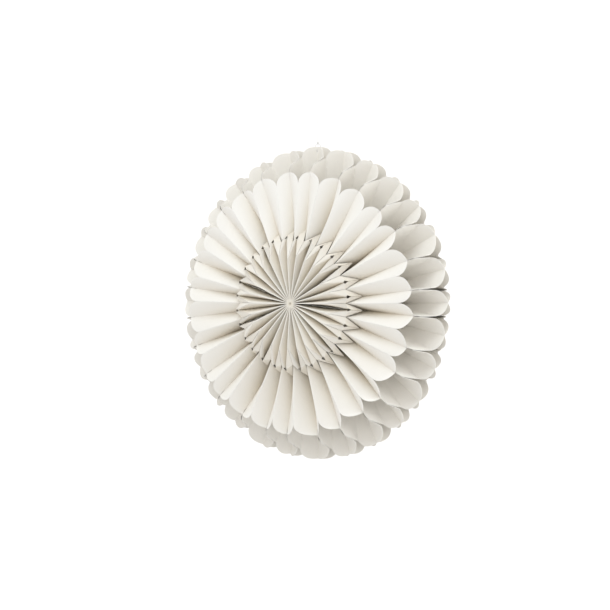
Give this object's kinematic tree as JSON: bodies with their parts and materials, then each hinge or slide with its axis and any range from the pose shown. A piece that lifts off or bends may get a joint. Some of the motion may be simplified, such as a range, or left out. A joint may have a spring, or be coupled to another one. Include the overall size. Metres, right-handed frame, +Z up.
{
  "type": "hanging paper honeycomb flower",
  "caption": "Round hanging flower of folded paper pockets: long front petals round a pleated crown, fuller petals behind, bound along one spine, on a fine thread.",
  "frame": {"origin": "on the spine, halfway between the front and the rear, at the centre of the flower", "axes": "+Z up along the thread, +Y along the spine from the front crown to the rear one, the front crown faces -Y"},
  "size_m": [0.3, 0.1096, 0.4745],
  "materials": {
    "petal_paper": "matte off-white folded paper",
    "thread": "fine white thread"
  },
  "bodies": {
    "hook_loop": {"hanging_loop": "thread"},
    "top_knot": {"loop_knot": "thread"},
    "thread": {"hanging_thread": "thread"},
    "flower_top": {"thread_tie": "thread", "tie_knot": "thread", "petal_pocket_01": "petal_paper", "petal_pocket_28": "petal_paper"},
    "pocket_14": {"petal_pocket_14": "petal_paper"},
    "pocket_02": {"petal_pocket_02": "petal_paper"},
    "pocket_03": {"petal_pocket_03": "petal_paper"},
    "pocket_04": {"petal_pocket_04": "petal_paper"},
    "pocket_05": {"petal_pocket_05": "petal_paper"},
    "pocket_06": {"petal_pocket_06": "petal_paper"},
    "pocket_07": {"petal_pocket_07": "petal_paper"},
    "pocket_08": {"petal_pocket_08": "petal_paper"},
    "pocket_09": {"petal_pocket_09": "petal_paper"},
    "pocket_10": {"petal_pocket_10": "petal_paper"},
    "pocket_11": {"petal_pocket_11": "petal_paper"},
    "pocket_12": {"petal_pocket_12": "petal_paper"},
    "pocket_13": {"petal_pocket_13": "petal_paper"},
    "pocket_15": {"petal_pocket_15": "petal_paper"},
    "pocket_16": {"petal_pocket_16": "petal_paper"},
    "pocket_17": {"petal_pocket_17": "petal_paper"},
    "pocket_18": {"petal_pocket_18": "petal_paper"},
    "pocket_19": {"petal_pocket_19": "petal_paper"},
    "pocket_20": {"petal_pocket_20": "petal_paper"},
    "pocket_21": {"petal_pocket_21": "petal_paper"},
    "pocket_22": {"petal_pocket_22": "petal_paper"},
    "pocket_23": {"petal_pocket_23": "petal_paper"},
    "pocket_24": {"petal_pocket_24": "petal_paper"},
    "pocket_25": {"petal_pocket_25": "petal_paper"},
    "pocket_26": {"petal_pocket_26": "petal_paper"},
    "pocket_27": {"petal_pocket_27": "petal_paper"}
  },
  "joints": [
    {"name": "swing_sideways", "type": "hinge", "parent": "hook_loop", "child": "top_knot", "pos_m": [0, 0, 0.3032], "axis": [0, 1, 0], "range_deg": [-30, 30]},
    {"name": "swing_fore_and_aft", "type": "hinge", "parent": "top_knot", "child": "thread", "pos_m": [0, 0, 0.3032], "axis": [1, 0, 0], "range_deg": [-30, 30]},
    {"name": "spin", "type": "hinge", "parent": "thread", "child": "flower_top", "pos_m": [0, 0, 0.1543], "axis": [0, 0, 1], "continuous": true},
    {"name": "fold", "type": "hinge", "parent": "flower_top", "child": "pocket_14", "pos_m": [0, 0, 0], "axis": [0, -1, 0], "range_deg": [0, 168.17], "deforming": ["petal_pocket_14", "petal_pocket_01", "petal_pocket_28"]},
    {"name": "fold_02", "type": "hinge", "parent": "flower_top", "child": "pocket_02", "pos_m": [0, 0, 0], "axis": [0, -1, 0], "range_deg": [0, 18.71], "deforming": ["petal_pocket_02"]},
    {"name": "fold_03", "type": "hinge", "parent": "flower_top", "child": "pocket_03", "pos_m": [0, 0, 0], "axis": [0, -1, 0], "range_deg": [0, 31.16], "deforming": ["petal_pocket_03"]},
    {"name": "fold_04", "type": "hinge", "parent": "flower_top", "child": "pocket_04", "pos_m": [0, 0, 0], "axis": [0, -1, 0], "range_deg": [0, 43.62], "deforming": ["petal_pocket_04"]},
    {"name": "fold_05", "type": "hinge", "parent": "flower_top", "child": "pocket_05", "pos_m": [0, 0, 0], "axis": [0, -1, 0], "range_deg": [0, 56.08], "deforming": ["petal_pocket_05"]},
    {"name": "fold_06", "type": "hinge", "parent": "flower_top", "child": "pocket_06", "pos_m": [0, 0, 0], "axis": [0, -1, 0], "range_deg": [0, 68.53], "deforming": ["petal_pocket_06"]},
    {"name": "fold_07", "type": "hinge", "parent": "flower_top", "child": "pocket_07", "pos_m": [0, 0, 0], "axis": [0, -1, 0], "range_deg": [0, 80.99], "deforming": ["petal_pocket_07"]},
    {"name": "fold_08", "type": "hinge", "parent": "flower_top", "child": "pocket_08", "pos_m": [0, 0, 0], "axis": [0, -1, 0], "range_deg": [0, 93.45], "deforming": ["petal_pocket_08"]},
    {"name": "fold_09", "type": "hinge", "parent": "flower_top", "child": "pocket_09", "pos_m": [0, 0, 0], "axis": [0, -1, 0], "range_deg": [0, 105.91], "deforming": ["petal_pocket_09"]},
    {"name": "fold_10", "type": "hinge", "parent": "flower_top", "child": "pocket_10", "pos_m": [0, 0, 0], "axis": [0, -1, 0], "range_deg": [0, 118.36], "deforming": ["petal_pocket_10"]},
    {"name": "fold_11", "type": "hinge", "parent": "flower_top", "child": "pocket_11", "pos_m": [0, 0, 0], "axis": [0, -1, 0], "range_deg": [0, 130.82], "deforming": ["petal_pocket_11"]},
    {"name": "fold_12", "type": "hinge", "parent": "flower_top", "child": "pocket_12", "pos_m": [0, 0, 0], "axis": [0, -1, 0], "range_deg": [0, 143.28], "deforming": ["petal_pocket_12"]},
    {"name": "fold_13", "type": "hinge", "parent": "flower_top", "child": "pocket_13", "pos_m": [0, 0, 0], "axis": [0, -1, 0], "range_deg": [0, 155.73], "deforming": ["petal_pocket_13"]},
    {"name": "fold_15", "type": "hinge", "parent": "flower_top", "child": "pocket_15", "pos_m": [0, 0, 0], "axis": [0, 1, 0], "range_deg": [0, 168.19], "deforming": ["petal_pocket_15"]},
    {"name": "fold_16", "type": "hinge", "parent": "flower_top", "child": "pocket_16", "pos_m": [0, 0, 0], "axis": [0, 1, 0], "range_deg": [0, 155.73], "deforming": ["petal_pocket_16"]},
    {"name": "fold_17", "type": "hinge", "parent": "flower_top", "child": "pocket_17", "pos_m": [0, 0, 0], "axis": [0, 1, 0], "range_deg": [0, 143.28], "deforming": ["petal_pocket_17"]},
    {"name": "fold_18", "type": "hinge", "parent": "flower_top", "child": "pocket_18", "pos_m": [0, 0, 0], "axis": [0, 1, 0], "range_deg": [0, 130.82], "deforming": ["petal_pocket_18"]},
    {"name": "fold_19", "type": "hinge", "parent": "flower_top", "child": "pocket_19", "pos_m": [0, 0, 0], "axis": [0, 1, 0], "range_deg": [0, 118.36], "deforming": ["petal_pocket_19"]},
    {"name": "fold_20", "type": "hinge", "parent": "flower_top", "child": "pocket_20", "pos_m": [0, 0, 0], "axis": [0, 1, 0], "range_deg": [0, 105.91], "deforming": ["petal_pocket_20"]},
    {"name": "fold_21", "type": "hinge", "parent": "flower_top", "child": "pocket_21", "pos_m": [0, 0, 0], "axis": [0, 1, 0], "range_deg": [0, 93.45], "deforming": ["petal_pocket_21"]},
    {"name": "fold_22", "type": "hinge", "parent": "flower_top", "child": "pocket_22", "pos_m": [0, 0, 0], "axis": [0, 1, 0], "range_deg": [0, 80.99], "deforming": ["petal_pocket_22"]},
    {"name": "fold_23", "type": "hinge", "parent": "flower_top", "child": "pocket_23", "pos_m": [0, 0, 0], "axis": [0, 1, 0], "range_deg": [0, 68.53], "deforming": ["petal_pocket_23"]},
    {"name": "fold_24", "type": "hinge", "parent": "flower_top", "child": "pocket_24", "pos_m": [0, 0, 0], "axis": [0, 1, 0], "range_deg": [0, 56.08], "deforming": ["petal_pocket_24"]},
    {"name": "fold_25", "type": "hinge", "parent": "flower_top", "child": "pocket_25", "pos_m": [0, 0, 0], "axis": [0, 1, 0], "range_deg": [0, 43.62], "deforming": ["petal_pocket_25"]},
    {"name": "fold_26", "type": "hinge", "parent": "flower_top", "child": "pocket_26", "pos_m": [0, 0, 0], "axis": [0, 1, 0], "range_deg": [0, 31.16], "deforming": ["petal_pocket_26"]},
    {"name": "fold_27", "type": "hinge", "parent": "flower_top", "child": "pocket_27", "pos_m": [0, 0, 0], "axis": [0, 1, 0], "range_deg": [0, 18.71], "deforming": ["petal_pocket_27"]}
  ],
  "couplings": [
    {"joint": "fold_02", "follows": "fold", "ratio": 0.11111},
    {"joint": "fold_03", "follows": "fold", "ratio": 0.18519},
    {"joint": "fold_04", "follows": "fold", "ratio": 0.25926},
    {"joint": "fold_05", "follows": "fold", "ratio": 0.33333},
    {"joint": "fold_06", "follows": "fold", "ratio": 0.40741},
    {"joint": "fold_07", "follows": "fold", "ratio": 0.48148},
    {"joint": "fold_08", "follows": "fold", "ratio": 0.55556},
    {"joint": "fold_09", "follows": "fold", "ratio": 0.62963},
    {"joint": "fold_10", "follows": "fold", "ratio": 0.7037},
    {"joint": "fold_11", "follows": "fold", "ratio": 0.77778},
    {"joint": "fold_12", "follows": "fold", "ratio": 0.85185},
    {"joint": "fold_13", "follows": "fold", "ratio": 0.92593},
    {"joint": "fold_15", "follows": "fold", "ratio": 1},
    {"joint": "fold_16", "follows": "fold", "ratio": 0.92593},
    {"joint": "fold_17", "follows": "fold", "ratio": 0.85185},
    {"joint": "fold_18", "follows": "fold", "ratio": 0.77778},
    {"joint": "fold_19", "follows": "fold", "ratio": 0.7037},
    {"joint": "fold_20", "follows": "fold", "ratio": 0.62963},
    {"joint": "fold_21", "follows": "fold", "ratio": 0.55556},
    {"joint": "fold_22", "follows": "fold", "ratio": 0.48148},
    {"joint": "fold_23", "follows": "fold", "ratio": 0.40741},
    {"joint": "fold_24", "follows": "fold", "ratio": 0.33333},
    {"joint": "fold_25", "follows": "fold", "ratio": 0.25926},
    {"joint": "fold_26", "follows": "fold", "ratio": 0.18519},
    {"joint": "fold_27", "follows": "fold", "ratio": 0.11111}
  ]
}
